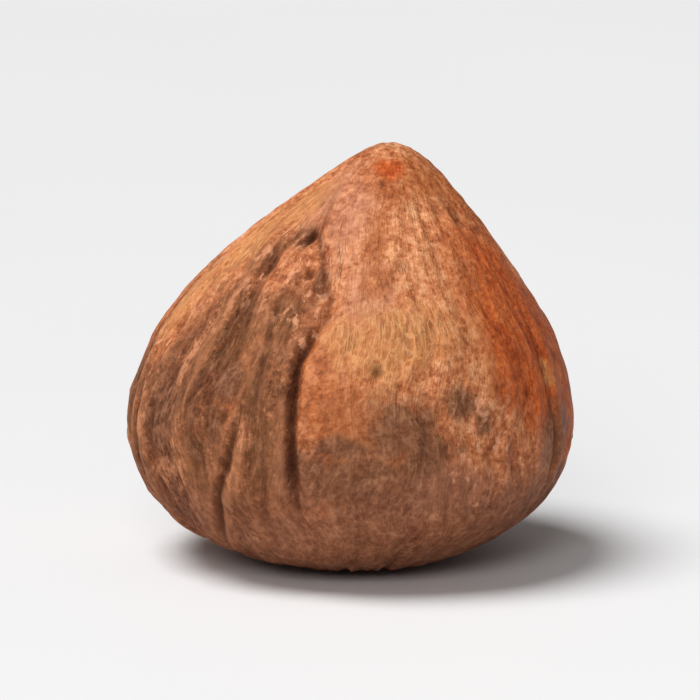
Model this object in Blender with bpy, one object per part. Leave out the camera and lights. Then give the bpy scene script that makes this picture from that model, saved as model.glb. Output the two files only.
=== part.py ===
"""A shelled hazelnut kernel in its thin brown skin, standing on its broad base with its point up.

Metres, +Z up. The origin is on the surface that the kernel stands on, under the middle of its outline. The
side with the furrow faces -Y. Longitude is 0 there and grows towards +X, and a station along the kernel runs
from 0 at the base to 1 at the point.
"""

import itertools
import math

import bmesh
import bpy
import numpy as np

MM = 0.001

# The kernel's size, and where its point stands off the middle of the base.
WIDTH = 15.0 * MM
DEPTH = 14.0 * MM
HEIGHT = 14.0 * MM
POINT_RIGHT = 1.35 * MM
POINT_BACK = 0.4 * MM
POINT_BEND = 3.2  # the power of height by which the middle line leans over to the point

# How much fuller than an ellipsoid each side is, at even stations from base to point.
FULLNESS = {
    "right": (1.42, 1.29, 1.06, 0.790, 0.508, 0.38),
    "back": (1.42, 1.29, 1.06, 0.820, 0.520, 0.40),
    "left": (1.42, 1.30, 1.06, 0.805, 0.480, 0.34),
    "front": (1.42, 1.29, 1.06, 0.815, 0.520, 0.40),
}

# Soft swellings all over.
SWELLING = 0.20 * MM
SWELLING_PITCH = 1.6

# Furrows and creases. A line runs through points of (station, longitude in degrees), and is open between two
# stations. The surface on its left lies lower than the surface on its right by the drop.
FURROWS = (
    # The furrow down the front, with a lobe of the kernel on its right.
    {
        "line": (
            (0.20, -13), (0.38, -15.5), (0.47, -16.5), (0.54, -17.5), (0.57, -14.5), (0.605, -11.5),
        ),
        "open": (0.27, 0.63),
        "half_width": 0.32 * MM,
        "depth": 0.42 * MM,
        "drop": 0.22 * MM,
    },
    # The lobe's edge above the furrow, which bends back towards the point.
    {
        "line": (
            (0.54, -17.5), (0.57, -14.5), (0.605, -11.5), (0.63, -12), (0.66, -16), (0.70, -24),
            (0.73, -32), (0.78, -37), (0.86, -38),
        ),
        "open": (0.52, 0.85),
        "half_width": 0.36 * MM,
        "depth": 0.16 * MM,
        "drop": 0.22 * MM,
    },
    # The crease low on the left of the front, and a short one beside it.
    {
        "line": ((0.19, -48), (0.26, -41), (0.32, -38), (0.38, -34.5), (0.44, -32), (0.53, -32)),
        "open": (0.14, 0.50),
        "half_width": 0.30 * MM,
        "depth": 0.24 * MM,
        "drop": 0.08 * MM,
    },
    {
        "line": ((0.22, -25), (0.42, -23)),
        "open": (0.22, 0.44),
        "half_width": 0.24 * MM,
        "depth": 0.14 * MM,
        "drop": 0.0,
    },
    # The right side.
    {
        "line": ((0.20, 71), (0.45, 66), (0.62, 69)),
        "open": (0.20, 0.60),
        "half_width": 0.30 * MM,
        "depth": 0.15 * MM,
        "drop": 0.06 * MM,
    },
    # The back.
    {
        "line": ((0.30, 141), (0.50, 136), (0.78, 143)),
        "open": (0.30, 0.80),
        "half_width": 0.34 * MM,
        "depth": 0.24 * MM,
        "drop": 0.12 * MM,
    },
    {
        "line": ((0.12, -166), (0.35, -160), (0.60, -168)),
        "open": (0.12, 0.58),
        "half_width": 0.32 * MM,
        "depth": 0.22 * MM,
        "drop": 0.08 * MM,
    },
    # The left side.
    {
        "line": ((0.35, -122), (0.60, -126), (0.80, -121)),
        "open": (0.36, 0.80),
        "half_width": 0.28 * MM,
        "depth": 0.16 * MM,
        "drop": 0.05 * MM,
    },
)
FURROW_TAPER = 0.12  # how much of the kernel's length a furrow takes to open or close
LOBE_EDGE = 0.4 * MM
LOBE_REACH = 4.0 * MM

# The veins, raised lines that run from base to point and join into a net.
VEIN_COUNT = 34
VEIN_HEIGHT = 0.18 * MM
VEIN_SHARPNESS = 0.27
VEIN_WANDER = 0.16  # radians
VEIN_LENGTH = 2.6
VEIN_FADE = (0.8 * MM, 4.2 * MM)  # the radii between which the veins rise, at the base and at the point
ROUGH_SIDE = (-58.0, 36.0)  # longitude in degrees and half-width of the side where the veins stand highest

# Where the skin has flaked off and the flesh lies bare: longitude in degrees, height, half-width, half-height.
FLAKED = (
    (-107.0, 3.6 * MM, 1.7 * MM, 1.4 * MM),
    (106.0, 3.4 * MM, 1.5 * MM, 1.2 * MM),
    (168.0, 9.3 * MM, 1.8 * MM, 1.7 * MM),
    (-148.0, 6.2 * MM, 0.7 * MM, 1.2 * MM),
)
SKIN_THICKNESS = 0.20 * MM
FLAKE_RAGGEDNESS = 0.9
FLAKE_EDGE = 0.26

# Small pits: longitude in degrees, height, radius, depth.
PITS = (
    (-37.0, 11.5 * MM, 0.45 * MM, 0.40 * MM),
    (6.0, 7.6 * MM, 0.32 * MM, 0.22 * MM),
    (60.0, 11.7 * MM, 0.36 * MM, 0.18 * MM),
    (-72.0, 8.2 * MM, 0.40 * MM, 0.20 * MM),
    (150.0, 4.4 * MM, 0.38 * MM, 0.24 * MM),
)

# Round bulges: longitude in degrees, height, half-width, half-height, rise.
BULGES = (
    (-5.0, 6.6 * MM, 1.15 * MM, 1.1 * MM, 0.16 * MM),
    (34.0, 4.6 * MM, 1.8 * MM, 1.5 * MM, 0.10 * MM),
    (104.0, 7.4 * MM, 1.6 * MM, 2.0 * MM, 0.12 * MM),
    (-140.0, 7.0 * MM, 1.7 * MM, 2.2 * MM, 0.14 * MM),
    (162.0, 5.0 * MM, 1.6 * MM, 1.5 * MM, 0.12 * MM),
)

# The flat spot is what the surface on the table presses from the base, after it has sunk by this much.
FLAT_SINK = 0.15 * MM
FLAT_CALM = (1.5 * MM, 3.0 * MM)  # the radii between which the relief rises round the flat spot

# The grid that the relief is worked out on, and the faces that are kept of it.
COLUMNS = 360
ROWS = 150
FACES_KEPT = 10000

NOISE_SEED = 11
SKIN_COLOUR = (0.42, 0.165, 0.070, 1.0)
SKIN_ROUGHNESS = 0.62


def smooth_step(low, high, value):
    """0 below low, 1 above high, and a cubic ease in between."""
    share = np.clip((value - low) / (high - low), 0.0, 1.0)
    return share * share * (3.0 - 2.0 * share)


def noise(points, seed):
    """Gradient noise: random slopes at the whole-number points, blended between them, about -0.7 to 0.7."""
    draw = np.random.default_rng(seed)
    order = draw.permutation(256)
    slopes = draw.normal(size=(256, 3))
    slopes /= np.linalg.norm(slopes, axis=1, keepdims=True)
    cell = np.floor(points).astype(int)
    part = points - cell
    ease = part**3 * (part * (part * 6.0 - 15.0) + 10.0)
    total = np.zeros(points.shape[:-1])
    for corner in itertools.product((0, 1), repeat=3):
        at = (cell + corner) & 255
        key = order[(order[(order[at[..., 0]] + at[..., 1]) & 255] + at[..., 2]) & 255]
        rise = np.sum(slopes[key] * (part - corner), axis=-1)
        total += rise * np.prod(np.where(corner, ease, 1.0 - ease), axis=-1)
    return total


def fullness(longitude, station):
    """Each side's own curve through its six numbers, blended round the kernel by the first two harmonics."""
    stations = np.linspace(0.0, 1.0, len(FULLNESS["right"]))
    side = {name: np.polyval(np.polyfit(stations, levels, 5), station) for name, levels in FULLNESS.items()}
    return (
        (side["right"] + side["back"] + side["left"] + side["front"]) / 4.0
        + (side["right"] - side["left"]) / 2.0 * np.sin(longitude)
        + (side["front"] - side["back"]) / 2.0 * np.cos(longitude)
        + (side["front"] + side["back"] - side["right"] - side["left"]) / 4.0 * np.cos(2.0 * longitude)
    )


def radius_at(longitude, station):
    """Distance from the middle line to the plain form, as wide as the kernel is from side to side."""
    return WIDTH / 2.0 * np.sin(math.pi * station) * fullness(longitude, station)


def plain_form(longitude, station):
    """An ellipsoid swelled or drawn in by its fullness, round a middle line that leans over to the point."""
    radius = radius_at(longitude, station)
    share = (1.0 - np.cos(math.pi * station)) / 2.0
    lean = share**POINT_BEND
    across = radius * np.sin(longitude) + POINT_RIGHT * lean
    along = -DEPTH / WIDTH * radius * np.cos(longitude) + POINT_BACK * lean
    return np.stack((across, along, HEIGHT * share), axis=-1)


def outward(longitude, station):
    """Unit vectors straight out of the plain form, from the slopes of its surface along both ways."""
    step = 1e-4
    across = plain_form(longitude + step, station) - plain_form(longitude - step, station)
    along = plain_form(longitude, station + step) - plain_form(longitude, station - step)
    normal = np.cross(across, along)
    return normal / np.linalg.norm(normal, axis=-1, keepdims=True)


def globe_point(longitude, station):
    """The point on a unit sphere that the noise is read at, so that it has no seam."""
    polar = math.pi * station
    across = np.sin(polar)
    return np.stack((across * np.sin(longitude), -across * np.cos(longitude), -np.cos(polar)), axis=-1)


def turn_from(degrees, longitude):
    """The signed turn in radians from a longitude given in degrees, within half a turn either way."""
    return (longitude - np.radians(degrees) + math.pi) % (2.0 * math.pi) - math.pi


def spot_distance(longitude, radius, height, degrees, level, half_width, half_height):
    """Distance over the surface from a spot's middle, 1 at the spot's edge."""
    return np.hypot(turn_from(degrees, longitude) * radius / half_width, (height - level) / half_height)


def vein_relief(longitude, station, radius, globe):
    """Raised lines where a noise drawn out from base to point crosses zero."""
    bent = longitude + VEIN_WANDER * noise(globe * 2.3, NOISE_SEED + 1)
    circle = VEIN_COUNT / (2.0 * math.pi)
    points = np.stack((np.sin(bent) * circle, np.cos(bent) * circle, station * VEIN_LENGTH), axis=-1)
    lines = np.exp(-((noise(points, NOISE_SEED + 2) / VEIN_SHARPNESS) ** 2))
    rough = np.exp(-((turn_from(ROUGH_SIDE[0], longitude) / math.radians(ROUGH_SIDE[1])) ** 2))
    strength = 0.65 + 0.8 * noise(globe * 1.7, NOISE_SEED + 3) + 0.4 * rough
    return VEIN_HEIGHT * (lines - 0.5) * strength * smooth_step(*VEIN_FADE, radius)


def furrow_relief(longitude, station, radius):
    """A rounded groove along each furrow's line, and a drop on its left that dies away over its reach."""
    relief = np.zeros_like(longitude)
    reach = np.minimum(LOBE_REACH, 0.8 * radius + 0.001 * MM)
    for furrow in FURROWS:
        stations, degrees = zip(*furrow["line"])
        away = turn_from(np.interp(station, stations, degrees), longitude) * radius
        first, last = furrow["open"]
        run = smooth_step(first, first + FURROW_TAPER, station)
        run *= smooth_step(last, last - FURROW_TAPER, station)
        groove = furrow["depth"] * np.exp(-((away / furrow["half_width"]) ** 2))
        lower = smooth_step(LOBE_EDGE, -LOBE_EDGE, away) * smooth_step(-reach, -0.2 * reach, away)
        relief -= (groove + furrow["drop"] * lower) * run
    return relief


def flaked_share(longitude, radius, height, globe):
    """1 where the skin is gone and 0 where it is whole, with ragged edges."""
    ragged = noise(globe * 5.3, NOISE_SEED + 4) + 0.35 * noise(globe * 11.0, NOISE_SEED + 5)
    gone = np.zeros_like(longitude)
    for place in FLAKED:
        away = spot_distance(longitude, radius, height, *place) + FLAKE_RAGGEDNESS * ragged
        gone = np.maximum(gone, smooth_step(1.0 + FLAKE_EDGE, 1.0 - FLAKE_EDGE, away))
    return gone


def bulge_relief(longitude, radius, height):
    """Bulges, each the shape of a bell."""
    relief = np.zeros_like(longitude)
    for degrees, level, half_width, half_height, rise in BULGES:
        away = spot_distance(longitude, radius, height, degrees, level, half_width, half_height)
        relief += rise * np.exp(-(away**2))
    return relief


def pit_relief(longitude, radius, height):
    """Round-bottomed pits."""
    relief = np.zeros_like(longitude)
    for degrees, level, half_width, depth in PITS:
        away = spot_distance(longitude, radius, height, degrees, level, half_width, half_width)
        relief -= depth * np.exp(-(away**2))
    return relief


def kernel_surface(longitude, station):
    """The plain form raised or sunk along its own normal, pressed flat under the base and brought to size."""
    plain = plain_form(longitude, station)
    globe = globe_point(longitude, station)
    radius = radius_at(longitude, station)
    height = plain[..., 2]
    gone = flaked_share(longitude, radius, height, globe)
    relief = SWELLING * noise(globe * SWELLING_PITCH, NOISE_SEED)
    relief += furrow_relief(longitude, station, radius)
    relief += bulge_relief(longitude, radius, height)
    relief += pit_relief(longitude, radius, height)
    relief += vein_relief(longitude, station, radius, globe) * (1.0 - gone)
    relief -= SKIN_THICKNESS * gone
    relief *= np.maximum(smooth_step(0.3, 0.5, station), smooth_step(*FLAT_CALM, radius))
    surface = plain + outward(longitude, station) * relief[..., None]
    surface[..., 2] = np.maximum(surface[..., 2] - FLAT_SINK, 0.0)
    low, high = surface.min(axis=0), surface.max(axis=0)
    surface = (surface - (low + high) / 2.0) * np.array((WIDTH, DEPTH, HEIGHT)) / (high - low)
    surface[..., 2] += HEIGHT / 2.0
    return surface


def skin_material():
    """Dry brown skin."""
    material = bpy.data.materials.new("kernel_skin")
    material.use_nodes = True
    shader = material.node_tree.nodes["Principled BSDF"]
    shader.inputs["Base Color"].default_value = SKIN_COLOUR
    shader.inputs["Roughness"].default_value = SKIN_ROUGHNESS
    shader.inputs["Metallic"].default_value = 0.0
    material.diffuse_color = SKIN_COLOUR
    return material


def hazelnut_kernel():
    """A globe of rows and columns moved onto the kernel's surface and thinned to the faces its relief needs."""
    globe = bmesh.new()
    bmesh.ops.create_uvsphere(globe, u_segments=COLUMNS, v_segments=ROWS, radius=1.0)
    places = np.array([vertex.co for vertex in globe.verts], dtype=float)
    longitude = np.arctan2(places[:, 0], -places[:, 1])
    station = np.arccos(np.clip(-places[:, 2], -1.0, 1.0)) / math.pi
    surface = kernel_surface(longitude, np.clip(station, 0.001, 0.999))
    for vertex, place in zip(globe.verts, surface):
        vertex.co = place
    bmesh.ops.triangulate(globe, faces=globe.faces)
    mesh = bpy.data.meshes.new("hazelnut_kernel")
    globe.to_mesh(mesh)
    globe.free()
    mesh.shade_smooth()
    mesh.materials.append(skin_material())
    nut = bpy.data.objects.new("hazelnut_kernel", mesh)
    bpy.context.scene.collection.objects.link(nut)
    thin = nut.modifiers.new("thin", "DECIMATE")
    thin.ratio = FACES_KEPT / len(mesh.polygons)


def clear_scene():
    """Removes what is in the scene."""
    for old in list(bpy.data.objects):
        bpy.data.objects.remove(old)


clear_scene()
hazelnut_kernel()
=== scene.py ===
"""A shelled hazelnut kernel in its papery brown skin, on a pale floor under soft light.

The kernel is one surface over two parameters: a longitude, 0 on the side with the furrow and
growing towards +X, and a station, from 0 at the base to 1 at the point. Its form and its relief
are formulas over the two, worked out as whole arrays, and so are the masks that tell its material
where the skin is smooth, rough, stained or gone.
"""

import itertools
import math

import bpy
import numpy as np
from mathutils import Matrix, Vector


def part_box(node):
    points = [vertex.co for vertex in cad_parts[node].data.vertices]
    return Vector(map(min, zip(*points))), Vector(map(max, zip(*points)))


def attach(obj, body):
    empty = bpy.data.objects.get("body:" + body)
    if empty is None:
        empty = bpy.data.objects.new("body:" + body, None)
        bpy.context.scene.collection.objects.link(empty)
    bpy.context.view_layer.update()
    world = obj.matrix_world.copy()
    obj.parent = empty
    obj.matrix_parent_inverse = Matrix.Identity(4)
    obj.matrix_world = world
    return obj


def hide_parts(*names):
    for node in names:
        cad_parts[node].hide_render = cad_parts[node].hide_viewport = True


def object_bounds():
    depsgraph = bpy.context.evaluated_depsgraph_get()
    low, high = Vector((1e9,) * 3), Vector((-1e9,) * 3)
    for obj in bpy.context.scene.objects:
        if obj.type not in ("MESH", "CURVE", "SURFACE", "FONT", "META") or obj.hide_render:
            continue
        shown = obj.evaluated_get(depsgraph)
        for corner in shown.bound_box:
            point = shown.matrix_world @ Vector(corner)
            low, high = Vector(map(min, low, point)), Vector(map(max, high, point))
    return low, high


MM = 0.001
NODE = "hazelnut_kernel"

# The kernel's size, and where its point stands off the middle of the base.
WIDTH = 15.0 * MM
DEPTH = 14.0 * MM
HEIGHT = 14.0 * MM
POINT_RIGHT = 1.35 * MM
POINT_BACK = 0.4 * MM
POINT_BEND = 3.2  # the power of height by which the middle line leans over to the point

# How much fuller than an ellipsoid each side is, at even stations from base to point.
FULLNESS = {
    "right": (1.42, 1.29, 1.06, 0.790, 0.508, 0.38),
    "back": (1.42, 1.29, 1.06, 0.820, 0.520, 0.40),
    "left": (1.42, 1.30, 1.06, 0.805, 0.480, 0.34),
    "front": (1.42, 1.29, 1.06, 0.815, 0.520, 0.40),
}

# Soft swellings all over.
SWELLING = 0.20 * MM
SWELLING_PITCH = 1.6

# Furrows and creases. A line runs through points of (station, longitude in degrees), and is open
# between two stations. The surface on its left lies lower than the surface on its right by the
# drop.
FURROWS = (
    # The furrow down the front, with a lobe of the kernel on its right.
    {
        "line": (
            (0.20, -13), (0.38, -15.5), (0.47, -16.5), (0.54, -17.5), (0.57, -14.5),
            (0.605, -11.5),
        ),
        "open": (0.27, 0.63),
        "half_width": 0.32 * MM,
        "depth": 0.42 * MM,
        "drop": 0.22 * MM,
    },
    # The lobe's edge above the furrow, which bends back towards the point.
    {
        "line": (
            (0.54, -17.5), (0.57, -14.5), (0.605, -11.5), (0.63, -12), (0.66, -16),
            (0.70, -24), (0.73, -32), (0.78, -37), (0.86, -38),
        ),
        "open": (0.52, 0.85),
        "half_width": 0.36 * MM,
        "depth": 0.16 * MM,
        "drop": 0.22 * MM,
    },
    # The crease low on the left of the front, and a short one beside it.
    {
        "line": (
            (0.19, -48), (0.26, -41), (0.32, -38), (0.38, -34.5), (0.44, -32), (0.53, -32),
        ),
        "open": (0.14, 0.50),
        "half_width": 0.30 * MM,
        "depth": 0.24 * MM,
        "drop": 0.08 * MM,
    },
    {
        "line": ((0.22, -25), (0.42, -23)),
        "open": (0.22, 0.44),
        "half_width": 0.24 * MM,
        "depth": 0.14 * MM,
        "drop": 0.0,
    },
    # The right side.
    {
        "line": ((0.20, 71), (0.45, 66), (0.62, 69)),
        "open": (0.20, 0.60),
        "half_width": 0.30 * MM,
        "depth": 0.15 * MM,
        "drop": 0.06 * MM,
    },
    # The back.
    {
        "line": ((0.30, 141), (0.50, 136), (0.78, 143)),
        "open": (0.30, 0.80),
        "half_width": 0.34 * MM,
        "depth": 0.24 * MM,
        "drop": 0.12 * MM,
    },
    {
        "line": ((0.12, -166), (0.35, -160), (0.60, -168)),
        "open": (0.12, 0.58),
        "half_width": 0.32 * MM,
        "depth": 0.22 * MM,
        "drop": 0.08 * MM,
    },
    # The left side.
    {
        "line": ((0.35, -122), (0.60, -126), (0.80, -121)),
        "open": (0.36, 0.80),
        "half_width": 0.28 * MM,
        "depth": 0.16 * MM,
        "drop": 0.05 * MM,
    },
)
FURROW_TAPER = 0.12  # how much of the kernel's length a furrow takes to open or close

# The drop at a furrow's left: how far to either side of the line it eases in, and how far from
# the line it has died away, at most a share of the radius there and a trace more at the poles.
LOBE_EDGE = 0.4 * MM
LOBE_REACH = 4.0 * MM
REACH_OF_RADIUS = 0.8
REACH_AT_POLE = 0.001 * MM

# The veins, raised lines that run from base to point and join into a net.
VEIN_COUNT = 34
VEIN_HEIGHT = 0.18 * MM
VEIN_SHARPNESS = 0.27
VEIN_WANDER = 0.16  # radians
VEIN_LENGTH = 2.6

# The radii between which the veins rise, at the base and at the point.
VEIN_FADE = (0.8 * MM, 4.2 * MM)

# Longitude and half-width in degrees of the side where the veins stand highest.
ROUGH_SIDE = (-58.0, 36.0)

# Where the skin has flaked off and the flesh lies bare: longitude in degrees, height, half-width,
# half-height.
FLAKED = (
    (-107.0, 3.6 * MM, 1.7 * MM, 1.4 * MM),
    (106.0, 3.4 * MM, 1.5 * MM, 1.2 * MM),
    (168.0, 9.3 * MM, 1.8 * MM, 1.7 * MM),
    (-148.0, 6.2 * MM, 0.7 * MM, 1.2 * MM),
)
SKIN_THICKNESS = 0.20 * MM
FLAKE_RAGGEDNESS = 0.9
FLAKE_EDGE = 0.12
FLAKE_INSIDE = (0.95, 0.35)  # the distances from its middle over which a patch turns pale

# Small pits: longitude in degrees, height, radius, depth.
PITS = (
    (-37.0, 11.5 * MM, 0.45 * MM, 0.40 * MM),
    (6.0, 7.6 * MM, 0.32 * MM, 0.22 * MM),
    (60.0, 11.7 * MM, 0.36 * MM, 0.18 * MM),
    (-72.0, 8.2 * MM, 0.40 * MM, 0.20 * MM),
    (150.0, 4.4 * MM, 0.38 * MM, 0.24 * MM),
)

# Round bulges: longitude in degrees, height, half-width, half-height, rise.
BULGES = (
    (-5.0, 6.6 * MM, 1.15 * MM, 1.1 * MM, 0.16 * MM),
    (34.0, 4.6 * MM, 1.8 * MM, 1.5 * MM, 0.10 * MM),
    (104.0, 7.4 * MM, 1.6 * MM, 2.0 * MM, 0.12 * MM),
    (-140.0, 7.0 * MM, 1.7 * MM, 2.2 * MM, 0.14 * MM),
    (162.0, 5.0 * MM, 1.6 * MM, 1.5 * MM, 0.12 * MM),
)

# Ribs that only the dressed kernel has, in the same numbers.
RIBS = (
    (-30.0, 7.0 * MM, 0.42 * MM, 2.4 * MM, 0.12 * MM),
    (-47.0, 6.6 * MM, 0.45 * MM, 2.2 * MM, 0.12 * MM),
    (-63.0, 6.4 * MM, 0.50 * MM, 2.0 * MM, 0.10 * MM),
    (128.0, 6.0 * MM, 0.50 * MM, 2.0 * MM, 0.10 * MM),
    (-150.0, 5.0 * MM, 0.50 * MM, 1.8 * MM, 0.10 * MM),
)

# The kernel sinks by this much, and what would then lie under the table is pressed flat.
FLAT_SINK = 0.15 * MM
FLAT_CALM = (1.5 * MM, 3.0 * MM)  # the radii between which the relief rises round the flat spot
CALM_STATIONS = (0.3, 0.5)  # the stations over which that calm ends

NOISE_SEED = 11

# The fine relief, which only the dressed kernel has.
HAIR_VEIN_COUNT = 88
HAIR_VEIN_HEIGHT = 0.06 * MM
HAIR_VEIN_LENGTH = 2.4 * VEIN_LENGTH
HAIR_VEIN_FADE = (2.5 * MM, 5.5 * MM)
WRINKLE_HEIGHT = 0.035 * MM
CRUST_HEIGHT = 0.07 * MM
SCURF_HEIGHT = 0.035 * MM
KNOB_HEIGHT = 0.16 * MM
DIMPLE_DEPTH = 0.05 * MM
RIM_LIFT = 0.09 * MM
FURROW_PINCH = 0.68  # how wide the grooves and pits are beside those of the plain solid

# Pits too small for the plain solid: longitude in degrees, height, radius, depth.
PINHOLES = (
    (-24.0, 10.5 * MM, 0.24 * MM, 0.20 * MM),
    (-36.0, 6.0 * MM, 0.26 * MM, 0.16 * MM),
    (-30.0, 9.3 * MM, 0.20 * MM, 0.10 * MM),
    (11.0, 10.4 * MM, 0.22 * MM, 0.07 * MM),
    (55.0, 6.4 * MM, 0.20 * MM, 0.10 * MM),
    (47.0, 4.1 * MM, 0.26 * MM, 0.12 * MM),
    (-74.0, 4.4 * MM, 0.28 * MM, 0.14 * MM),
    (-116.0, 8.1 * MM, 0.24 * MM, 0.12 * MM),
    (122.0, 6.2 * MM, 0.22 * MM, 0.12 * MM),
    (-170.0, 6.9 * MM, 0.26 * MM, 0.14 * MM),
)

# The zones of the skin, as spots: longitude in degrees, height, half-width, half-height.
ZONES = {
    # Dull brown and ridged; the spot left of the lobe's edge, high on the front, is painted shade.
    "rough": (
        (-62.0, 4.6 * MM, 5.0 * MM, 4.6 * MM),
        (-24.0, 6.4 * MM, 1.8 * MM, 3.2 * MM),
        (-46.0, 8.5 * MM, 1.8 * MM, 2.1 * MM),
        (-50.0, 10.7 * MM, 0.8 * MM, 0.8 * MM),
        (-26.0, 9.3 * MM, 1.3 * MM, 1.5 * MM),
        (-41.0, 11.4 * MM, 0.5 * MM, 0.4 * MM),
        # Painted shade along the lobe's edge.
        (-19.0, 10.3 * MM, 0.45 * MM, 0.9 * MM),
        (-17.0, 8.2 * MM, 0.55 * MM, 1.0 * MM),
        (114.0, 5.2 * MM, 2.0 * MM, 3.0 * MM),
        (156.0, 4.8 * MM, 4.0 * MM, 3.8 * MM),
        (-150.0, 9.6 * MM, 2.4 * MM, 2.4 * MM),
        (124.0, 10.6 * MM, 1.2 * MM, 1.6 * MM),
    ),
    # Knobbly, with pale crumbs.
    "knobbly": (
        (-32.0, 10.3 * MM, 1.6 * MM, 1.1 * MM),
        (-18.0, 9.6 * MM, 0.9 * MM, 1.0 * MM),
        (34.0, 4.6 * MM, 1.9 * MM, 1.7 * MM),
        (-78.0, 7.6 * MM, 0.9 * MM, 0.9 * MM),
        (136.0, 8.6 * MM, 1.3 * MM, 1.2 * MM),
        (-132.0, 4.4 * MM, 1.5 * MM, 1.3 * MM),
    ),
    # Red.
    "red": (
        (68.0, 8.6 * MM, 2.2 * MM, 2.8 * MM),
        (60.0, 6.6 * MM, 1.2 * MM, 1.6 * MM),
        (50.0, 7.7 * MM, 0.9 * MM, 1.8 * MM),
        (74.0, 5.8 * MM, 1.6 * MM, 2.0 * MM),
        (84.0, 7.6 * MM, 1.2 * MM, 2.4 * MM),
        (6.0, 13.3 * MM, 0.45 * MM, 0.28 * MM),
    ),
    # Deep orange and even.
    "amber": (
        (-5.0, 6.5 * MM, 1.2 * MM, 1.2 * MM),
        (44.0, 13.0 * MM, 1.0 * MM, 0.7 * MM),
        (52.0, 8.6 * MM, 1.6 * MM, 2.6 * MM),
        (5.0, 10.2 * MM, 0.6 * MM, 0.5 * MM),
        (10.0, 12.9 * MM, 0.9 * MM, 0.6 * MM),
        (3.0, 11.3 * MM, 0.35 * MM, 0.9 * MM),
        (-11.0, 8.1 * MM, 0.6 * MM, 0.8 * MM),
        (98.0, 7.4 * MM, 1.5 * MM, 2.3 * MM),
        (-128.0, 8.8 * MM, 1.6 * MM, 2.2 * MM),
        (180.0, 6.0 * MM, 1.6 * MM, 2.0 * MM),
        (-170.0, 10.6 * MM, 1.8 * MM, 1.2 * MM),
        (100.0, 12.0 * MM, 1.4 * MM, 1.0 * MM),
        (-104.0, 7.6 * MM, 1.3 * MM, 1.6 * MM),
    ),
    # Light orange; the spot on the point is a painted highlight.
    "light": (
        (20.0, 9.6 * MM, 1.6 * MM, 2.6 * MM),
        (34.0, 9.6 * MM, 1.5 * MM, 2.6 * MM),
        (42.0, 7.6 * MM, 1.2 * MM, 1.6 * MM),
        (30.0, 11.8 * MM, 1.3 * MM, 1.0 * MM),
        (44.0, 11.2 * MM, 1.1 * MM, 0.8 * MM),
        # A painted highlight on the point.
        (0.0, 13.95 * MM, 1.0 * MM, 0.3 * MM),
        (150.0, 10.6 * MM, 1.6 * MM, 1.6 * MM),
        (-112.0, 10.8 * MM, 1.4 * MM, 1.6 * MM),
        (96.0, 9.4 * MM, 1.0 * MM, 1.4 * MM),
    ),
    # Ochre, crossed by pale slanting threads; along the upper left flank, a painted highlight.
    "tan": (
        (10.0, 8.4 * MM, 2.1 * MM, 1.2 * MM),
        (68.0, 6.8 * MM, 0.3 * MM, 0.5 * MM),
        # These three spots, a pale band along the upper left flank, are a painted highlight.
        (-80.0, 8.9 * MM, 1.2 * MM, 1.5 * MM),
        (-72.0, 10.7 * MM, 1.0 * MM, 1.3 * MM),
        (-58.0, 12.3 * MM, 0.9 * MM, 0.8 * MM),
        (122.0, 8.4 * MM, 1.2 * MM, 1.4 * MM),
        (-175.0, 12.4 * MM, 1.6 * MM, 0.8 * MM),
    ),
    # Grey brown.
    "stain": (
        (12.0, 5.5 * MM, 1.4 * MM, 1.2 * MM),
        (18.0, 4.8 * MM, 1.3 * MM, 1.2 * MM),
        (3.0, 4.1 * MM, 2.6 * MM, 1.2 * MM),
        (-11.0, 4.3 * MM, 1.5 * MM, 1.0 * MM),
        (-2.0, 5.2 * MM, 1.2 * MM, 0.45 * MM),
        (-61.0, 5.7 * MM, 1.2 * MM, 1.5 * MM),
        (-37.0, 7.0 * MM, 0.5 * MM, 0.7 * MM),
        (68.0, 4.6 * MM, 1.5 * MM, 1.3 * MM),
        (92.0, 4.4 * MM, 1.0 * MM, 1.6 * MM),
        (12.0, 6.3 * MM, 0.6 * MM, 0.35 * MM),
        (30.0, 6.4 * MM, 0.60 * MM, 0.50 * MM),
        (36.0, 5.9 * MM, 0.35 * MM, 0.45 * MM),
        (-90.0, 6.0 * MM, 1.2 * MM, 1.6 * MM),
        (142.0, 6.6 * MM, 1.5 * MM, 1.2 * MM),
        (-165.0, 2.8 * MM, 2.0 * MM, 1.2 * MM),
    ),
    # Pinkish; the two spots high on the upper left of the front are a painted highlight.
    "pink": (
        # These two spots are a painted highlight.
        (-14.0, 11.9 * MM, 0.9 * MM, 1.3 * MM),
        (-44.0, 12.4 * MM, 0.7 * MM, 0.7 * MM),
        (2.0, 9.8 * MM, 0.8 * MM, 1.0 * MM),
        (24.0, 3.6 * MM, 1.8 * MM, 0.9 * MM),
        (134.0, 11.6 * MM, 1.0 * MM, 1.0 * MM),
        (-134.0, 10.8 * MM, 1.1 * MM, 1.4 * MM),
        (178.0, 3.4 * MM, 2.0 * MM, 1.2 * MM),
    ),
}
ZONE_RAGGEDNESS = {
    "rough": 0.5, "knobbly": 0.7, "red": 0.5, "amber": 0.35, "light": 0.5, "tan": 0.5,
    "stain": 0.5, "pink": 0.5,
}
ZONE_EDGE = 0.85

# The heights between which the skin darkens towards the base, partly its browner tone there and
# partly painted shade, and how far they wander.
LOW_BAND = (5.0 * MM, 2.4 * MM)
LOW_WANDER = 1.6 * MM

# No rough skin lies on the lobe: where that starts and where it ends, right of the furrow's line.
LOBE_SKIN_START = (-0.2 * MM, 0.3 * MM)
LOBE_SKIN_END = (9.0 * MM, 7.0 * MM)

# The radii within which the patterns along the fibres give way to even ones, round both poles.
POLE_FADE = (1.2 * MM, 5.0 * MM)

# The depths from which the painted shade in the bottom of a furrow and of a pit is at its darkest.
DARK_FURROW = 0.45 * MM
DARK_PIT = 0.35 * MM

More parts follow.
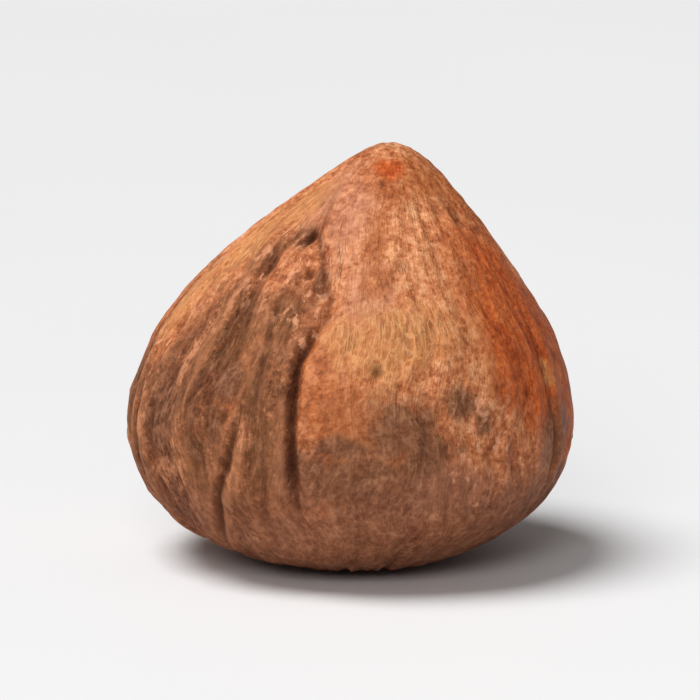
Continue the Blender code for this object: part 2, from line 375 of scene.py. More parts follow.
# The skin's tones as they are seen on a screen, from 0 to 255, each at its share of a ramp.
TONES = {
    "smooth": (
        (0.22, (124, 58, 28)), (0.38, (164, 87, 47)), (0.50, (193, 114, 70)),
        (0.62, (213, 137, 90)), (0.78, (238, 172, 124)),
    ),
    "rough": (
        (0.20, (56, 25, 12)), (0.38, (82, 41, 21)), (0.50, (102, 54, 30)),
        (0.62, (130, 74, 44)), (0.80, (190, 126, 88)),
    ),
    "olive": ((0.0, (74, 43, 15)), (1.0, (134, 88, 43))),
    "pink": ((0.0, (160, 96, 72)), (1.0, (228, 164, 134))),
    "amber": ((0.25, (122, 57, 23)), (0.5, (171, 92, 46)), (0.78, (208, 130, 80))),
    "red": (
        (0.25, (124, 42, 12)), (0.48, (180, 78, 28)), (0.65, (210, 106, 48)),
        (0.85, (234, 144, 84)),
    ),
    "tan": ((0.0, (188, 116, 64)), (1.0, (224, 160, 100))),
    "stain": ((0.26, (50, 25, 14)), (0.5, (88, 51, 34)), (0.76, (142, 92, 64))),
    # Darker skin at the base: partly its own browner tone, partly painted shade.
    "low": ((0.25, (66, 29, 17)), (0.5, (109, 59, 40)), (0.76, (156, 98, 70))),
    "flesh": ((0.3, (238, 198, 150)), (0.65, (255, 236, 206))),
    "floor": ((0.3, (226, 226, 227)), (0.7, (228, 228, 228))),
}

# What the material reads from the kernel's grid besides its zones.
OTHER_MASKS = (
    "bare", "inner", "rim", "hollow_shade", "ridge_wear_and_highlight", "low", "groove", "pole", "vein", "scurf",
)

# The coats laid over the smooth and the rough skin, in this order: the tones, the pattern that
# they follow, what the coat's share is summed from, the sums between which it rises, and its most.
COATS = (
    # Where the pink spots lie high on the upper left of the front, this coat is a painted
    # highlight.
    ("pink", "mottles", {"pink": 1.0, "specks": 1.0, "patches": 0.6}, (0.2, 1.0), 0.5),
    ("amber", "coat_tone", {"amber": 1.0, "patches": 0.7}, (0.1, 0.9), 0.85),
    ("red", "coat_tone", {"red": 1.0, "patches": 0.5, "streaks": 0.5}, (0.1, 0.95), 0.95),
    # The tan coat also carries the painted highlight along the upper left flank.
    ("tan", "lattice", {"tan": 1.0, "patches": 0.8, "mottles": 0.5}, (0.3, 1.0), 0.75),
    (
        "stain", "coat_tone", {"stain": 1.0, "patches": 1.3, "specks": 0.6, "mottles": 0.5},
        (0.2, 0.95), 0.85,
    ),
    # The darker base: partly its own tone, partly painted shade.
    ("low", "coat_tone", {"low": 1.0, "patches": 0.7, "mottles": 0.4}, (0.2, 0.9), 0.9),
)

# The grid of the dressed kernel: columns round it, rows from base to point.
COLUMNS = 512
ROWS = 190
POLE_GAP = 0.001  # how far the first and the last row stay from the poles
BLUR_STEPS = 5  # grid steps over which the relief is smoothed to tell hollows from ridges
# The depth off the smoothed relief at which the painted shade in hollows, and the paleness of
# ridges, are full.
HOLLOW_DEPTH = 0.12 * MM

# The view, and the share of the picture's width that the kernel takes.
CAMERA_ELEVATION = math.radians(12.0)
LENS = 400.0
SENSOR = 36.0
FRAME_SHARE = 0.64

# The floor: how far it reaches to each side, and how far it lies under the kernel.
FLOOR_REACH = 1.0
FLOOR_GAP = 0.01 * MM


def smooth_step(low, high, value):
    """0 below low, 1 above high, and a cubic ease in between."""
    share = np.clip((value - low) / (high - low), 0.0, 1.0)
    return share * share * (3.0 - 2.0 * share)


def bell(away):
    """1 at 0, and falling off to both sides as e to the power of minus the distance squared."""
    return np.exp(-(away**2))


def noise(points, seed):
    """Random slopes at the whole-number points, blended between them, about -0.7 to 0.7."""
    draw = np.random.default_rng(seed)
    order = draw.permutation(256)
    slopes = draw.normal(size=(256, 3))
    slopes /= np.linalg.norm(slopes, axis=1, keepdims=True)
    cell = np.floor(points).astype(int)
    part = points - cell
    ease = part**3 * (part * (part * 6.0 - 15.0) + 10.0)
    total = np.zeros(points.shape[:-1])
    for corner in itertools.product((0, 1), repeat=3):
        at = (cell + corner) & 255
        key = order[(order[(order[at[..., 0]] + at[..., 1]) & 255] + at[..., 2]) & 255]
        rise = np.sum(slopes[key] * (part - corner), axis=-1)
        total += rise * np.prod(np.where(corner, ease, 1.0 - ease), axis=-1)
    return total


def fullness(longitude, station):
    """Each side's own curve through its six numbers, blended by the first two harmonics."""
    stations = np.linspace(0.0, 1.0, len(FULLNESS["right"]))
    side = {
        name: np.polyval(np.polyfit(stations, levels, len(levels) - 1), station)
        for name, levels in FULLNESS.items()
    }
    across = side["right"] + side["left"]
    along = side["front"] + side["back"]
    return (
        (across + along) / 4.0
        + (side["right"] - side["left"]) / 2.0 * np.sin(longitude)
        + (side["front"] - side["back"]) / 2.0 * np.cos(longitude)
        + (along - across) / 4.0 * np.cos(2.0 * longitude)
    )


def radius_at(longitude, station):
    """Distance from the middle line to the plain form, before its depth is drawn in."""
    return WIDTH / 2.0 * np.sin(math.pi * station) * fullness(longitude, station)


def plain_form(longitude, station):
    """An ellipsoid times its fullness, round a middle line that leans over to the point."""
    radius = radius_at(longitude, station)
    share = (1.0 - np.cos(math.pi * station)) / 2.0
    lean = share**POINT_BEND
    across = radius * np.sin(longitude) + POINT_RIGHT * lean
    along = -DEPTH / WIDTH * radius * np.cos(longitude) + POINT_BACK * lean
    return np.stack((across, along, HEIGHT * share), axis=-1)


def outward(longitude, station):
    """Unit vectors straight out of the plain form, across the slopes of its surface both ways."""
    step = 1e-4
    across = plain_form(longitude + step, station) - plain_form(longitude - step, station)
    along = plain_form(longitude, station + step) - plain_form(longitude, station - step)
    normal = np.cross(across, along)
    return normal / np.linalg.norm(normal, axis=-1, keepdims=True)


def globe_point(longitude, station):
    """The point on a unit sphere that the noise is read at, so that it has no seam."""
    ring = np.sin(math.pi * station)
    level = -np.cos(math.pi * station)
    return np.stack((ring * np.sin(longitude), -ring * np.cos(longitude), level), axis=-1)


def turn_from(degrees, longitude):
    """The turn in radians from a longitude given in degrees, up to half a turn either way."""
    return (longitude - np.radians(degrees) + math.pi) % (2.0 * math.pi) - math.pi


def spot_distance(longitude, radius, height, degrees, level, half_width, half_height):
    """Distance over the surface from a spot's middle, 1 at the spot's edge."""
    across = turn_from(degrees, longitude) * radius / half_width
    return np.hypot(across, (height - level) / half_height)


def bent_longitude(longitude, globe):
    """The longitude that veins and fibres follow, which wanders by a noise."""
    return longitude + VEIN_WANDER * noise(globe * 2.3, NOISE_SEED + 1)


def vein_lines(longitude, station, globe, count, length, seed):
    """1 on the lines where a noise drawn out from base to point crosses zero, 0 between them."""
    bent = bent_longitude(longitude, globe)
    circle = count / (2.0 * math.pi)
    points = np.stack((np.sin(bent) * circle, np.cos(bent) * circle, station * length), axis=-1)
    return bell(noise(points, seed) / VEIN_SHARPNESS)


def vein_strength(longitude, globe):
    """How high the veins stand, highest on the rough side."""
    middle, half_width = ROUGH_SIDE
    rough = bell(turn_from(middle, longitude) / math.radians(half_width))
    return 0.65 + 0.8 * noise(globe * 1.7, NOISE_SEED + 3) + 0.4 * rough


def beside_furrow(furrow, longitude, station, radius):
    """The distance to the right of a furrow's line, and a share that is 1 where it is open."""
    stations, degrees = zip(*furrow["line"])
    away = turn_from(np.interp(station, stations, degrees), longitude) * radius
    first, last = furrow["open"]
    opened = smooth_step(first, first + FURROW_TAPER, station)
    return away, opened * smooth_step(last, last - FURROW_TAPER, station)


def furrow_relief(longitude, station, radius):
    """A bell-shaped groove along each furrow's line, and a drop on its left that dies away."""
    relief = np.zeros_like(longitude)
    reach = np.minimum(LOBE_REACH, REACH_OF_RADIUS * radius + REACH_AT_POLE)
    for furrow in FURROWS:
        away, opened = beside_furrow(furrow, longitude, station, radius)
        groove = furrow["depth"] * bell(away / (FURROW_PINCH * furrow["half_width"]))
        lower = smooth_step(LOBE_EDGE, -LOBE_EDGE, away) * smooth_step(-reach, -0.2 * reach, away)
        relief -= (groove + furrow["drop"] * lower) * opened
    return relief


def flaked_share(longitude, radius, height, globe):
    """Three shares: where the skin is gone, how far inside that is, and the skin's lifted rim.

    The patches are spots whose edges wander by a noise of three sizes.
    """
    ragged = noise(globe * 5.3, NOISE_SEED + 4) + 0.35 * noise(globe * 11.0, NOISE_SEED + 5)
    ragged += 0.2 * noise(globe * 27.0, NOISE_SEED + 6)
    gone = np.zeros_like(longitude)
    inner = np.zeros_like(longitude)
    rim = np.zeros_like(longitude)
    for place in FLAKED:
        away = spot_distance(longitude, radius, height, *place) + FLAKE_RAGGEDNESS * ragged
        gone = np.maximum(gone, smooth_step(1.0 + FLAKE_EDGE, 1.0 - FLAKE_EDGE, away))
        inner = np.maximum(inner, smooth_step(*FLAKE_INSIDE, away))
        rim = np.maximum(rim, bell((away - 1.0 - 1.6 * FLAKE_EDGE) / FLAKE_EDGE))
    return gone, inner, rim * smooth_step(-0.25, 0.35, noise(globe * 9.0, NOISE_SEED + 17))


def bulge_relief(longitude, radius, height):
    """Bulges and ribs, each the shape of a bell."""
    relief = np.zeros_like(longitude)
    for *spot, rise in BULGES + RIBS:
        relief += rise * bell(spot_distance(longitude, radius, height, *spot))
    return relief


def pit_relief(longitude, radius, height):
    """Round pits, each the shape of a bell turned inwards."""
    relief = np.zeros_like(longitude)
    for degrees, level, half_width, depth in PITS + PINHOLES:
        away = spot_distance(longitude, radius, height, degrees, level, half_width, half_width)
        relief -= depth * bell(away / FURROW_PINCH)
    return relief


def groove_shade_share(longitude, station, radius, height):
    """Painted shade at the bottoms of furrows and pits: 1 there, less in the shallow ones, 0 away.
    """
    share = np.zeros_like(longitude)
    for furrow in FURROWS:
        away, opened = beside_furrow(furrow, longitude, station, radius)
        middle = (away + 0.1 * furrow["half_width"]) / (0.45 * furrow["half_width"])
        deep = min(1.0, (furrow["depth"] + furrow["drop"]) / DARK_FURROW)
        share = np.maximum(share, deep * opened * bell(middle))
    for degrees, level, half_width, depth in PITS + PINHOLES:
        away = spot_distance(longitude, radius, height, degrees, level, half_width, half_width)
        share = np.maximum(share, min(1.0, depth / DARK_PIT) * smooth_step(0.85, 0.3, away))
    return share


def lobe_share(longitude, station, radius):
    """1 on the lobe at the right of the front furrow and of its edge above, 0 at their left."""
    share = np.zeros_like(longitude)
    for furrow in FURROWS[:2]:
        away, opened = beside_furrow(furrow, longitude, station, radius)
        share += opened * smooth_step(*LOBE_SKIN_START, away) * smooth_step(*LOBE_SKIN_END, away)
    return np.minimum(share, 1.0)


def zone_share(name, longitude, radius, height, globe, seed):
    """1 inside a zone's spots and 0 outside, with edges that wander by a noise of three sizes."""
    ragged = noise(globe * 2.9, seed) + 0.6 * noise(globe * 7.3, seed + 1)
    ragged += 0.4 * noise(globe * 17.0, seed + 2)
    share = np.zeros_like(longitude)
    for place in ZONES[name]:
        away = spot_distance(longitude, radius, height, *place) + ZONE_RAGGEDNESS[name] * ragged
        share = np.maximum(share, smooth_step(1.0 + ZONE_EDGE, 1.0 - ZONE_EDGE, away))
    return share


def blurred(values, steps):
    """The mean over a square of grid steps, wrapped round the kernel and held at its ends."""
    total = sum(np.roll(values, step, axis=1) for step in range(-steps, steps + 1))
    padded = np.pad(total, ((steps, steps), (0, 0)), mode="edge")
    rows = len(values)
    return sum(padded[step : step + rows] for step in range(2 * steps + 1)) / (2 * steps + 1) ** 2


def even_stations(count):
    """Stations that lie equally far apart over the surface on the front, and the whole way."""
    fine = np.linspace(0.0, 1.0, 2001)
    line = plain_form(np.zeros_like(fine), fine)
    length = np.concatenate(((0.0,), np.cumsum(np.linalg.norm(np.diff(line, axis=0), axis=1))))
    return np.interp(np.linspace(0.0, length[-1], count), length, fine), length[-1]


def skin_relief(longitude, station, radius, globe, fibre, masks):
    """The skin's own relief, and the masks of its veins and scurf put beside the others.

    Veins, hair veins, a crust of two noises, scurf where a broad noise and the crust are high,
    and wrinkles fade towards the base and the point. Dimples and knobs are noises that don't.
    """
    rough = masks["rough"]
    veins = vein_lines(longitude, station, globe, VEIN_COUNT, VEIN_LENGTH, NOISE_SEED + 2)
    hair_veins = vein_lines(
        longitude, station, globe, HAIR_VEIN_COUNT, HAIR_VEIN_LENGTH, NOISE_SEED + 7
    )
    crust = noise(fibre * (1.3, 1.3, 0.6), NOISE_SEED + 8)
    crust += 0.6 * noise(fibre * (3.1, 3.1, 1.6), NOISE_SEED + 9)
    scurf = noise(fibre * (0.9, 0.9, 0.5), NOISE_SEED + 10) + 0.3 * crust
    scurf = smooth_step(0.02, 0.12, scurf)
    wrinkles = noise(fibre * (2.3, 2.3, 0.5), NOISE_SEED + 13)
    knobs = noise(fibre * (1.7, 1.7, 1.4), NOISE_SEED + 14)
    knobs += 0.5 * noise(fibre * (3.9, 3.9, 3.3), NOISE_SEED + 15)
    open_side = smooth_step(*VEIN_FADE, radius)
    hair_side = smooth_step(*HAIR_VEIN_FADE, radius)

    skin = VEIN_HEIGHT * (veins - 0.5) * vein_strength(longitude, globe)
    skin += HAIR_VEIN_HEIGHT * (hair_veins - 0.5) * (0.25 + 0.75 * rough) * hair_side
    skin += CRUST_HEIGHT * crust * (0.2 + 0.8 * rough)
    skin += SCURF_HEIGHT * scurf * (0.3 + 0.7 * rough)
    skin += WRINKLE_HEIGHT * wrinkles * (1.0 - 0.5 * rough)
    skin *= open_side
    skin += DIMPLE_DEPTH * noise(globe * 12.0, NOISE_SEED + 12)
    skin += KNOB_HEIGHT * knobs * masks["knobbly"]
    masks["scurf"] = scurf
    masks["vein"] = veins * open_side
    return skin


def kernel_grid():
    """The kernel's surface points on the grid, and what its material reads at each of them."""
    stations, length = even_stations(ROWS)
    stations = np.clip(stations, POLE_GAP, 1.0 - POLE_GAP)
    columns = np.linspace(-math.pi, math.pi, COLUMNS, endpoint=False)
    station, longitude = np.meshgrid(stations, columns, indexing="ij")
    plain = plain_form(longitude, station)
    globe = globe_point(longitude, station)
    radius = radius_at(longitude, station)
    height = plain[..., 2]
    bent = bent_longitude(longitude, globe)
    run = np.interp(station, stations, np.linspace(0.0, length, ROWS))
    fibre = np.stack((WIDTH / 2.0 * np.sin(bent), WIDTH / 2.0 * np.cos(bent), run), axis=-1) / MM

    bare, inner, rim = flaked_share(longitude, radius, height, globe)
    masks = {
        name: zone_share(name, longitude, radius, height, globe, NOISE_SEED + 20 + 3 * index)
        for index, name in enumerate(ZONES)
    }
    masks["rough"] *= 1.0 - lobe_share(longitude, station, radius)
    skin = skin_relief(longitude, station, radius, globe, fibre, masks)
    relief = SWELLING * noise(globe * SWELLING_PITCH, NOISE_SEED)
    relief += furrow_relief(longitude, station, radius)
    relief += bulge_relief(longitude, radius, height)
    relief += pit_relief(longitude, radius, height)
    relief += (skin + RIM_LIFT * rim) * (1.0 - bare)
    relief -= SKIN_THICKNESS * bare
    relief *= np.maximum(smooth_step(*CALM_STATIONS, station), smooth_step(*FLAT_CALM, radius))
    surface = plain + outward(longitude, station) * relief[..., None]
    surface[..., 2] = np.maximum(surface[..., 2] - FLAT_SINK, 0.0)

    smooth_relief = blurred(relief, BLUR_STEPS)
    wander = LOW_WANDER * noise(globe * 3.7, NOISE_SEED + 16)
    masks["bare"] = bare
    masks["inner"] = inner
    masks["rim"] = rim * (1.0 - bare)
    masks["vein"] *= 1.0 - bare
    # Painted shade in the hollows of the relief.
    masks["hollow_shade"] = smooth_step(0.0, HOLLOW_DEPTH, smooth_relief - relief)
    # Ridges made paler: part rubbed wear, part painted highlight.
    masks["ridge_wear_and_highlight"] = smooth_step(0.0, HOLLOW_DEPTH, relief - smooth_relief) * (1.0 - bare)
    # Darker towards the base: partly the skin's browner tone, partly painted shade.
    masks["low"] = smooth_step(*LOW_BAND, height + wander)
    # The bottoms of furrows and pits, where the material paints shade and raises the roughness.
    masks["groove"] = groove_shade_share(longitude, station, radius, height)
    masks["pole"] = 1.0 - smooth_step(*POLE_FADE, radius)
    return surface, masks, fibre


def fit_to_box(surface, low, high):
    """The surface brought to a box's own corners."""
    first = surface.reshape(-1, 3).min(axis=0)
    last = surface.reshape(-1, 3).max(axis=0)
    share = (surface - first) / (last - first)
    return np.array(low) + share * (np.array(high) - np.array(low))


def with_poles(values):
    """A grid's values as one list, rows from base to point, then one value for each pole."""
    rows = values.reshape(ROWS, COLUMNS, -1)
    flat = rows.reshape(ROWS * COLUMNS, -1)
    return np.vstack((flat, rows[0].mean(axis=0), rows[-1].mean(axis=0)))


def grid_faces():
    """Quads between the rows and triangles round the two poles, all facing out."""
    index = np.arange(ROWS * COLUMNS).reshape(ROWS, COLUMNS)
    after = np.roll(index, -1, axis=1)
    quads = np.stack((index[:-1], after[:-1], after[1:], index[1:]), axis=-1).reshape(-1, 4)
    base_pole = np.full(COLUMNS, ROWS * COLUMNS)
    base = np.stack((after[0], index[0], base_pole), axis=-1)
    point = np.stack((index[-1], after[-1], base_pole + 1), axis=-1)
    return quads.tolist() + base.tolist() + point.tolist()


def shown(name, mesh, material):
    """A new object in the scene with its mesh and material."""
    mesh.materials.append(material)
    piece = bpy.data.objects.new(name, mesh)
    bpy.context.scene.collection.objects.link(piece)
    return piece


def dressed_kernel(material):
    """The kernel's fine surface in place of its plain solid."""
    surface, masks, fibre = kernel_grid()
    surface = fit_to_box(surface, *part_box(NODE))
    mesh = bpy.data.meshes.new("kernel_surface")
    mesh.from_pydata(with_poles(surface), [], grid_faces())
    mesh.shade_smooth()
    for name, values in masks.items():
        layer = mesh.attributes.new(name, "FLOAT", "POINT")
        layer.data.foreach_set("value", with_poles(values).ravel().astype(np.float32))
    layer = mesh.attributes.new("fibre", "FLOAT_VECTOR", "POINT")
    layer.data.foreach_set("vector", with_poles(fibre).ravel().astype(np.float32))
    piece = shown("kernel_surface", mesh, material)
    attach(piece, "root")
    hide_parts(NODE)
    return piece


def colour(red, green, blue):
    """A colour as it is seen on a screen, from 0 to 255, in a shader's linear values."""
    seen = np.array((red, green, blue)) / 255.0
    return (*np.where(seen <= 0.04045, seen / 12.92, ((seen + 0.055) / 1.055) ** 2.4).tolist(), 1.0)


def put(tree, kind, inputs=None, **settings):
    """A new node with its settings, and each input linked to a socket or set to a value."""
    made = tree.nodes.new(kind)
    for name, value in settings.items():
        setattr(made, name, value)
    for key, value in (inputs or {}).items():
        if isinstance(value, bpy.types.NodeSocket):
            tree.links.new(value, made.inputs[key])
        else:
            made.inputs[key].default_value = value
    return made


def calculate(tree, operation, first, second=0.0, third=0.0):
    """A Math node's result."""
    values = {0: first, 1: second, 2: third}
    return put(tree, "ShaderNodeMath", values, operation=operation).outputs[0]


def mix(tree, share, low, high, mode="MIX"):
    """A colour between two, by a share."""
    sockets = {0: share, 6: low, 7: high}
    return put(tree, "ShaderNodeMix", sockets, data_type="RGBA", blend_type=mode).outputs[2]


def mix_value(tree, share, low, high):
    """A number between two, by a share."""
    return put(tree, "ShaderNodeMix", {0: share, 2: low, 3: high}, data_type="FLOAT").outputs[0]


def between(tree, value, low, high, first=0.0, last=1.0):
    """A value carried from one range to another with an ease at both ends."""
    values = {"Value": value, "From Min": low, "From Max": high, "To Min": first, "To Max": last}
    return put(tree, "ShaderNodeMapRange", values, interpolation_type="SMOOTHSTEP").outputs[0]


def ramp(tree, share, name):
    """A colour read from the tones of a name."""
    made = put(tree, "ShaderNodeValToRGB", {"Fac": share})
    for index, (at, seen) in enumerate(TONES[name]):
        stop = made.color_ramp.elements[index] if index < 2 else made.color_ramp.elements.new(at)
        stop.position = at
        stop.color = colour(*seen)
    return made.outputs["Color"]


def mottle(tree, vector, scale, detail=3.0, roughness=0.55, turn=0.0, warp=0.0):
    """Noise read at a vector scaled along each axis and turned by degrees about its first."""
    place = {"Vector": vector, "Scale": scale, "Rotation": (math.radians(turn), 0.0, 0.0)}
    values = {
        "Vector": put(tree, "ShaderNodeMapping", place).outputs[0],
        "Scale": 1.0,
        "Detail": detail,
        "Roughness": roughness,
        "Distortion": warp,
    }
    return put(tree, "ShaderNodeTexNoise", values).outputs["Fac"]


def summed(tree, look, **weights):
    """A half, plus the distance of each named value from a half times its own weight."""
    total = 0.5 - 0.5 * sum(weights.values())
    for name, weight in weights.items():
        total = calculate(tree, "MULTIPLY_ADD", look[name], weight, total)
    return total


def laid(tree, skin, mark, strength, seen, mode="MIX"):
    """A colour laid over the skin where a mark is, by its strength."""
    share = calculate(tree, "MULTIPLY", mark, strength)
    return mix(tree, share, skin, colour(*seen), mode)


def islands(tree, vector, scale, low, high):
    """Irregular spots where a warped noise is past a limit."""
    return between(tree, mottle(tree, vector, scale, 3.0, 0.6, warp=0.25), low, high)


def hairlines(tree, vector, scale, width):
    """Thin wandering lines where a warped noise crosses its middle."""
    wander = mottle(tree, vector, scale, 2.0, 0.5, warp=0.7)
    off_middle = calculate(tree, "ABSOLUTE", calculate(tree, "SUBTRACT", wander, 0.5))
    return between(tree, off_middle, width, 0.0)


def net(tree, vector, scale, width):
    """A net of thin lines between irregular cells."""
    place = put(tree, "ShaderNodeMapping", {"Vector": vector, "Scale": scale}).outputs[0]
    values = {"Vector": place, "Scale": 1.3, "Detail": 2.0}
    bend = put(tree, "ShaderNodeTexNoise", values).outputs["Color"]
    values = {0: bend, 1: (0.9, 0.9, 0.9), 2: place}
    bent = put(tree, "ShaderNodeVectorMath", values, operation="MULTIPLY_ADD").outputs[0]
    values = {"Vector": bent, "Scale": 1.0}
    cells = put(tree, "ShaderNodeTexVoronoi", values, feature="DISTANCE_TO_EDGE")
    return between(tree, cells.outputs["Distance"], width, 0.0)


def attribute(tree, name, output="Fac"):
    """What the mesh holds under a name."""
    return put(tree, "ShaderNodeAttribute", attribute_name=name).outputs[output]


def new_material(name):
    """A material's tree and its shader."""
    material = bpy.data.materials.new(name)
    material.use_nodes = True
    return material, material.node_tree, material.node_tree.nodes["Principled BSDF"]


def skin_patterns(tree, look):
    """The noises, nets and lines that break up the skin, put beside the masks by name.

    Those that run along the fibres give way to even ones round the poles.
    """
    fibre = attribute(tree, "fibre", "Vector")
    here = put(tree, "ShaderNodeTexCoord").outputs["Object"]
    pole = look["pole"]
    off_pole = between(tree, pole, 1.0, 0.3)
    clouds = mottle(tree, here, (420.0,) * 3, 3.0, 0.5)
    patches = mottle(tree, here, (1100.0,) * 3, 4.0, 0.6, warp=0.5)
    grain = mottle(tree, here, (6000.0,) * 3, 4.0, 0.7)
    mottles = mottle(tree, fibre, (2.6, 2.6, 1.5), 4.0, 0.65, warp=0.4)
    streaks = mottle(tree, fibre, (2.2, 2.2, 0.3), 4.0, 0.65)
    bands = mottle(tree, fibre, (1.1, 1.1, 0.14), 2.0, 0.5)
    threads = mottle(tree, fibre, (8.0, 8.0, 2.2), 4.0, 0.7)
    fine_net = calculate(tree, "MULTIPLY", net(tree, fibre, (2.9, 2.9, 1.5), 0.16), off_pole)
    long_net = calculate(tree, "MULTIPLY", net(tree, fibre, (1.9, 1.9, 0.5), 0.13), off_pole)
    slants = [mottle(tree, fibre, (4.4, 4.4, 1.4), 3.0, 0.6, turn) for turn in (32.0, -32.0)]
    lattice = between(tree, calculate(tree, "MAXIMUM", *slants), 0.5, 0.68)

    lined = between(tree, look["amber"], 0.8, 0.2)
    cracked = calculate(tree, "MULTIPLY", between(tree, patches, 0.45, 0.6), lined)
    cracks = hairlines(tree, fibre, (2.9, 2.9, 0.6), 0.06)
    haired = calculate(tree, "MULTIPLY", between(tree, mottles, 0.42, 0.6), lined)
    hairs = hairlines(tree, fibre, (4.4, 4.4, 0.8), 0.06)
    look.update(
        clouds=clouds,
        patches=patches,
        specks=mottle(tree, here, (2600.0,) * 3, 3.0, 0.6, warp=0.4),
        grain=grain,
        mottles=mottles,
        streaks=mix_value(tree, pole, streaks, clouds),
        bands=mix_value(tree, pole, bands, clouds),
        threads=mix_value(tree, pole, threads, grain),
        fine_net=fine_net,
        long_net=long_net,
        lattice=calculate(tree, "MAXIMUM", lattice, fine_net),
        cracks=calculate(tree, "MULTIPLY", cracks, cracked),
        hairs=calculate(tree, "MULTIPLY", hairs, haired),
        pale=islands(tree, fibre, (3.0, 3.0, 2.3), 0.53, 0.66),
        dark=islands(tree, fibre, (2.8, 2.8, 2.0), 0.38, 0.26),
    )


def skin_coats(tree, look):
    """Smooth orange skin or rough brown, with each zone's own tones over it."""
    tone = summed(
        tree, look, clouds=0.4, patches=0.45, specks=0.9, mottles=0.3, threads=0.2, grain=1.0
    )
    # The light zones raise the tone; on the point this is a painted highlight.
    tone = calculate(tree, "MULTIPLY_ADD", look["light"], 0.12, tone)
    smooth_skin = ramp(tree, tone, "smooth")
    tone = summed(
        tree, look, bands=0.8, streaks=0.4, patches=0.2, mottles=0.3, threads=0.4, specks=0.7,
        grain=0.9, scurf=0.1,
    )
    olive = between(tree, look["clouds"], 0.50, 0.64, 0.0, 0.3)
    rough_skin = mix(tree, olive, ramp(tree, tone, "rough"), ramp(tree, look["mottles"], "olive"))
    worn = summed(tree, look, rough=1.2, patches=0.7, threads=0.5, specks=0.5)
    worn = calculate(tree, "MULTIPLY_ADD", look["knobbly"], -0.3, worn)
    look["worn"] = between(tree, worn, 0.15, 0.85)
    skin = mix(tree, look["worn"], smooth_skin, rough_skin)

    look["coat_tone"] = summed(
        tree, look, streaks=0.4, mottles=0.5, threads=0.2, grain=0.8, patches=0.4, specks=0.5
    )
    for name, pattern, weights, rise, most in COATS:
        share = between(tree, summed(tree, look, **weights), *rise, 0.0, most)
        skin = mix(tree, share, skin, ramp(tree, look[pattern], name))
    return skin


def skin_marks(tree, look, skin):
    """Islands, nets, cracks, hairs, ridges, hollows and veins laid over the skin, in this order.

    Then the red parts grow warmer, and the bottoms of grooves and pits grow dark with painted
    shade.
    """
    knobbly, worn = look["knobbly"], look["worn"]
    marks = (
        ("pale", between(tree, knobbly, 0.1, 0.9, 0.16, 0.85), (226, 160, 122)),
        ("dark", between(tree, knobbly, 0.1, 0.9, 0.45, 0.75), (84, 40, 18)),
        ("fine_net", 0.05, (232, 172, 128)),
        ("long_net", between(tree, worn, 0.2, 1.0, 0.03, 0.14), (196, 130, 92)),
        ("cracks", 0.4, (84, 40, 20)),
        ("hairs", 0.1, (228, 166, 122)),
        # Paler ridge tops: part rubbed wear, part painted highlight.
        ("ridge_wear_and_highlight", between(tree, worn, 0.0, 1.0, 0.1, 0.42), (206, 138, 98)),
        # Painted shade: darker in the hollows of the relief.
        ("hollow_shade", between(tree, worn, 0.0, 1.0, 0.2, 0.5), (66, 30, 14)),
        ("vein", 0.1, (226, 152, 102)),
    )
    for name, strength, seen in marks:
        skin = laid(tree, skin, look[name], strength, seen)
    skin = laid(tree, skin, look["red"], 0.5, (255, 228, 192), "MULTIPLY")
    # Painted shade: the bottoms of grooves and pits are darkened.
    return laid(tree, skin, look["groove"], 0.7, (58, 22, 8))


def bare_flesh(tree, look, skin):
    """Cream flesh where the skin has flaked off, darker near its edge and with a brown outline."""
    flesh = ramp(tree, summed(tree, look, clouds=0.8, threads=0.2, patches=0.6), "flesh")
    edged = between(tree, summed(tree, look, inner=1.0, specks=0.6), 0.8, 0.1, 0.0, 0.55)
    flesh = mix(tree, edged, flesh, colour(222, 166, 108))
    skin = laid(tree, skin, look["rim"], 0.5, (214, 156, 106))
    skin = mix(tree, between(tree, look["bare"], 0.05, 0.4), skin, colour(150, 88, 48))
    return mix(tree, between(tree, look["bare"], 0.5, 0.85), skin, flesh)


def skin_bump(tree, look):
    """The skin's finest relief, which is flatter on the bare flesh."""
    height = summed(
        tree, look, threads=0.2, grain=0.9, specks=0.8, mottles=0.4, cracks=-0.3, hairs=0.1,
        fine_net=0.15, long_net=0.2,
    )
    height = mix_value(tree, calculate(tree, "MULTIPLY", look["bare"], 0.7), height, 0.5)
    values = {"Strength": 0.6, "Distance": 0.1 * MM, "Height": height}
    return put(tree, "ShaderNodeBump", values).outputs[0]


def skin_material():
    """Papery brown skin with its zones, marks and flaked patches."""
    material, tree, shader = new_material("kernel_skin")
    look = {name: attribute(tree, name) for name in (*ZONES, *OTHER_MASKS)}
    skin_patterns(tree, look)
    skin = skin_coats(tree, look)
    skin = skin_marks(tree, look, skin)
    skin = bare_flesh(tree, look, skin)
    roughness = between(tree, look["worn"], 0.0, 1.0, 0.55, 0.85)
    roughness = mix_value(tree, look["groove"], roughness, 0.95)
    tree.links.new(skin, shader.inputs["Base Color"])
    tree.links.new(roughness, shader.inputs["Roughness"])
    tree.links.new(skin_bump(tree, look), shader.inputs["Normal"])
    shader.inputs["Specular IOR Level"].default_value = 0.14
    shader.inputs["Subsurface Weight"].default_value = 0.05
    shader.inputs["Subsurface Radius"].default_value = (1.0, 0.45, 0.2)
    shader.inputs["Subsurface Scale"].default_value = 0.3 * MM
    return material


def floor_material():
    """Matt white board."""
    material, tree, shader = new_material("floor")
    here = put(tree, "ShaderNodeTexCoord").outputs["Object"]
    cast = mottle(tree, here, (30.0,) * 3, 2.0)
    tree.links.new(ramp(tree, cast, "floor"), shader.inputs["Base Color"])
    shader.inputs["Roughness"].default_value = 0.6
    return material


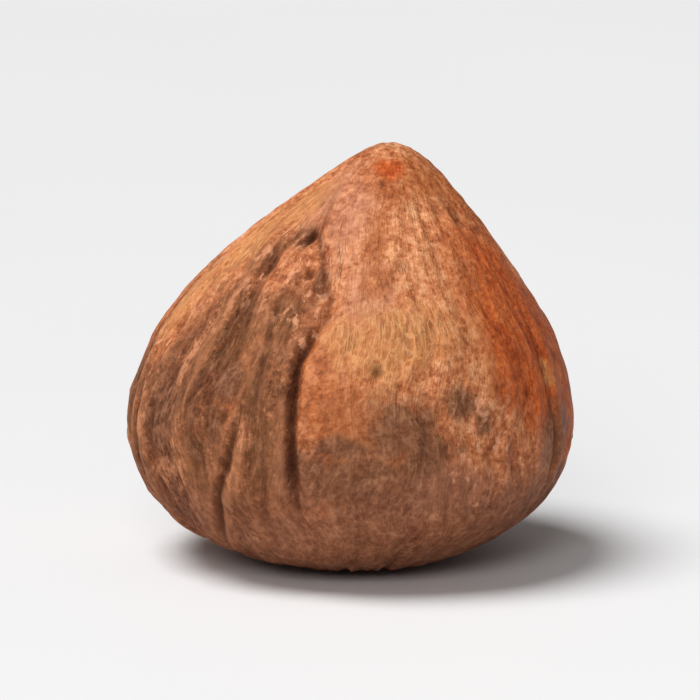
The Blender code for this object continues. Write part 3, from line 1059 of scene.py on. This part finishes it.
def floor():
    """A wide flat board just under the kernel."""
    mesh = bpy.data.meshes.new("floor")
    turns = ((-1.0, -1.0), (1.0, -1.0), (1.0, 1.0), (-1.0, 1.0))
    corners = [(right * FLOOR_REACH, back * FLOOR_REACH, -FLOOR_GAP) for right, back in turns]
    mesh.from_pydata(corners, [], [(0, 1, 2, 3)])
    shown("floor", mesh, floor_material())


def area_light(name, place, aim, size, power):
    """A square soft light at a place, aimed at a point."""
    lamp = bpy.data.lights.new(name, "AREA")
    lamp.size = size
    lamp.energy = power
    holder = bpy.data.objects.new(name, lamp)
    holder.location = place
    holder.rotation_euler = (Vector(aim) - Vector(place)).to_track_quat("-Z", "Y").to_euler()
    bpy.context.scene.collection.objects.link(holder)


def sky_light(name, towards, spread, strength):
    """A light from one side of the sky, as soft as its spread in degrees is wide."""
    lamp = bpy.data.lights.new(name, "SUN")
    lamp.angle = math.radians(spread)
    lamp.energy = strength
    holder = bpy.data.objects.new(name, lamp)
    holder.rotation_euler = (-Vector(towards)).to_track_quat("-Z", "Y").to_euler()
    bpy.context.scene.collection.objects.link(holder)


def lights(middle):
    """A broad soft light overhead and to the left, a weak one in front, and a dim surround."""
    sky_light("overhead", towards=(-0.42, -0.06, 1.0), spread=32.0, strength=3.15)
    area_light("front", place=(-0.06, -0.30, 0.20), aim=middle, size=0.16, power=0.4)
    world = bpy.data.worlds.new("surround")
    world.use_nodes = True
    surround = world.node_tree.nodes["Background"]
    surround.inputs["Color"].default_value = (1.0, 1.0, 1.0, 1.0)
    surround.inputs["Strength"].default_value = 0.17
    bpy.context.scene.world = world
    bpy.context.scene.view_settings.view_transform = "Standard"


def camera(low, high):
    """A long lens that looks down a little at the side with the furrow."""
    lens = bpy.data.cameras.new("camera")
    lens.lens = LENS
    lens.sensor_width = SENSOR
    lens.clip_start = MM
    lens.clip_end = 10.0
    holder = bpy.data.objects.new("camera", lens)
    distance = (high.x - low.x) / FRAME_SHARE * LENS / SENSOR
    back = Vector((0.0, -math.cos(CAMERA_ELEVATION), math.sin(CAMERA_ELEVATION)))
    holder.location = (low + high) / 2.0 + back * distance
    holder.rotation_euler = (-back).to_track_quat("-Z", "Y").to_euler()
    bpy.context.scene.collection.objects.link(holder)
    bpy.context.scene.camera = holder


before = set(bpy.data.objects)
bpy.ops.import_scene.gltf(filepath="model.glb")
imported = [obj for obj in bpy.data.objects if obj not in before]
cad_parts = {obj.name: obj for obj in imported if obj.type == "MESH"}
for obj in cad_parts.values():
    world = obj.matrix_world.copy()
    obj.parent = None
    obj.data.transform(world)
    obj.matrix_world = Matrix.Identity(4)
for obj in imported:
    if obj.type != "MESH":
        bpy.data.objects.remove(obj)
cad_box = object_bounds()
camera(*cad_box)
lights((cad_box[0] + cad_box[1]) / 2.0)
floor()
dressed_kernel(skin_material())
